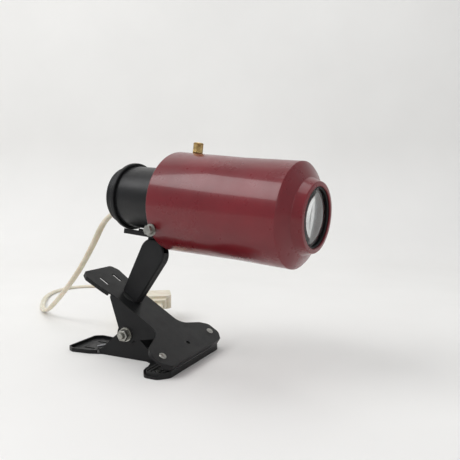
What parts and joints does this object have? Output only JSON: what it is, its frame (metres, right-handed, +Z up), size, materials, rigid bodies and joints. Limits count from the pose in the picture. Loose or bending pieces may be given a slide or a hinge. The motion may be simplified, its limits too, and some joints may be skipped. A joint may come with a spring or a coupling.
{
  "type": "clip-on reading lamp",
  "caption": "Clamp-on spotlight with a sprung steel clip, swivelling and tilting arm, slide-off cylindrical shell, lens and folded mains lead.",
  "frame": {"origin": "on the surface that the closed clamp lies on, in the clamp's middle plane, near the foot of the arm", "axes": "+X from the clamp's handles to its jaws, +Z up, +Y completes a right-handed frame (the cord's side)"},
  "size_m": [0.4318, 0.2815, 0.1818],
  "materials": {
    "crimson_paint": "gloss",
    "black_steel": "matt powder coat",
    "satin_black": "satin",
    "black_plastic": "fine moulded texture",
    "zinc_steel": "zinc plated",
    "spring_steel": "bare drawn wire",
    "brass": "turned",
    "lens_glass": "clear polished",
    "opal_glass": "frosted inside",
    "holder_plastic": "moulded, cream",
    "nylon": "black nylon",
    "pad_rubber": "ribbed rubber",
    "cord_pvc": "soft cream PVC, lightly glossy",
    "pin_metal": "nickel plated"
  },
  "bodies": {
    "base": {"lower_lever": "black_steel", "lower_jaw_pad": "pad_rubber", "lower_pad_rivets": "zinc_steel", "pivot_bolt": "zinc_steel", "pivot_nut": "zinc_steel", "pivot_washers": "zinc_steel", "torsion_spring": "spring_steel", "cord_hank": "cord_pvc", "cord_tie": "cord_pvc", "plug_body": "cord_pvc", "plug_pins": "pin_metal"},
    "upper_clamp": {"upper_lever": "black_steel", "upper_jaw_pad": "pad_rubber", "upper_pad_rivets": "zinc_steel"},
    "arm": {"arm_shell_left": "black_plastic", "arm_shell_right": "black_plastic", "arm_screw": "zinc_steel", "arm_nut": "zinc_steel", "arm_spring_washer": "zinc_steel", "arm_friction_washer": "nylon", "tilt_pin": "zinc_steel", "tilt_friction_discs": "nylon"},
    "head": {"bracket": "black_steel", "side_bolts": "zinc_steel", "side_bolt_washers": "zinc_steel", "side_bolt_nuts": "zinc_steel", "shell_carrier": "zinc_steel", "lamp_tube": "satin_black", "rear_cap": "black_plastic", "cord_bush": "black_plastic", "cord_grip": "black_plastic", "lamp_holder": "holder_plastic", "bulb_cap": "zinc_steel", "bulb_glass": "opal_glass", "cord_tube": "cord_pvc"},
    "shell": {"shell": "crimson_paint", "lens": "lens_glass", "lens_front_ring": "black_plastic", "lens_spring_ring": "spring_steel", "thumb_screw_nut": "zinc_steel"},
    "thumb_screw": {"thumb_screw": "brass"}
  },
  "joints": [
    {"name": "clamp_open", "type": "hinge", "parent": "base", "child": "upper_clamp", "pos_m": [0.0025, 0, 0.0215], "axis": [0, -1, 0], "range_deg": [0, 40], "stiffness_Nm_per_rad": 0.8, "springref_deg": -71.62, "deforming": ["torsion_spring"]},
    {"name": "arm_swivel", "type": "hinge", "parent": "upper_clamp", "child": "arm", "pos_m": [-0.00314, 0, 0.04997], "axis": [0.515, 0, 0.8572], "range_deg": [-80, 95]},
    {"name": "head_tilt", "type": "hinge", "parent": "arm", "child": "head", "pos_m": [0.02034, 0, 0.08906], "axis": [0.1252, 0.9893, -0.0752], "range_deg": [-50, 40], "deforming": ["cord_tube"]},
    {"name": "shell_slide", "type": "slide", "parent": "head", "child": "shell", "axis": [0.9885, -0.1309, -0.0753], "range_m": [0, 0.018]},
    {"name": "thumb_screw_turn", "type": "hinge", "parent": "shell", "child": "thumb_screw", "pos_m": [0.06246, 0.00103, 0.17272], "axis": [0.0843, 0.065, 0.9943], "continuous": true}
  ]
}
